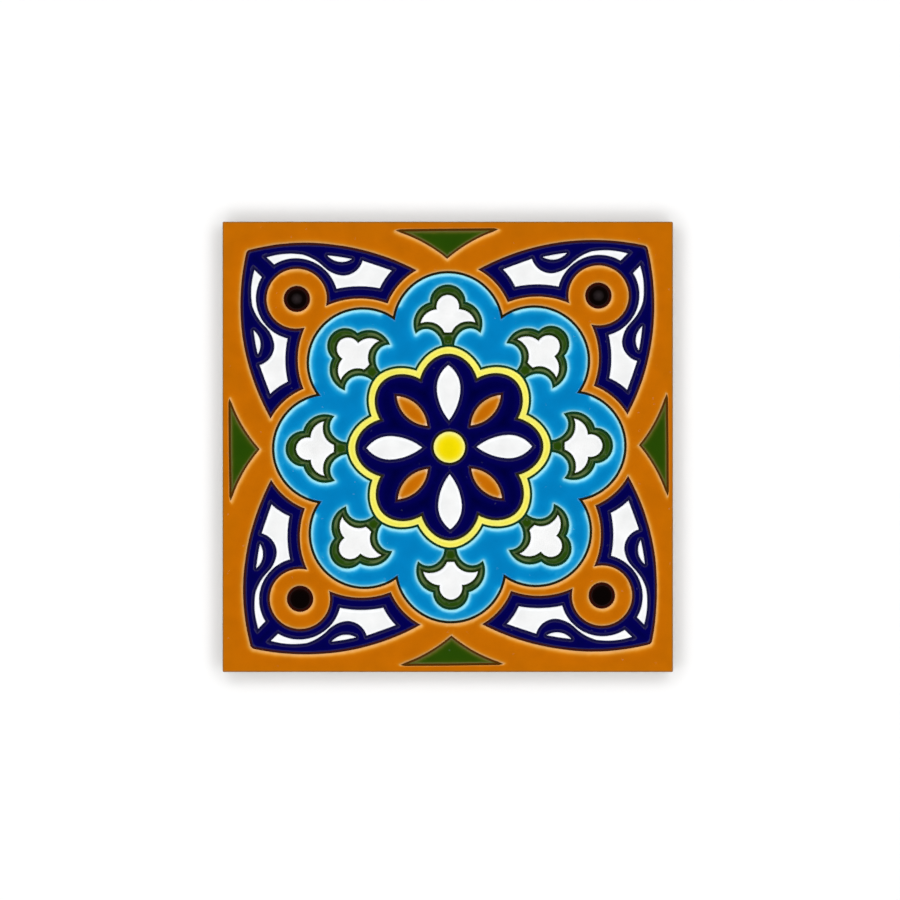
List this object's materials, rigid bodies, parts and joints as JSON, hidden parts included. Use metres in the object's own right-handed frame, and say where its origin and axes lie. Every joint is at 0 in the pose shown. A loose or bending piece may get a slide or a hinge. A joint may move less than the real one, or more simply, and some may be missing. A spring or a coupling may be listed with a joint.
{
  "type": "wall tile",
  "caption": "Square relief-glazed ceramic wall tile, its face parted into coloured glaze cells by dark sunken lines, with a flat back for bedding.",
  "frame": {"origin": "middle of the flat back, on the surface that the tile lies on", "axes": "+Z out of the glazed face, +Y towards the top of the ornament, +X to its right"},
  "size_m": [0.2, 0.2, 0.01],
  "materials": {
    "glazed_ceramic": "glossy coloured glazes on the face, bare fired clay on the back"
  },
  "bodies": {
    "root": {"glazed_tile": "glazed_ceramic"}
  },
  "joints": []
}
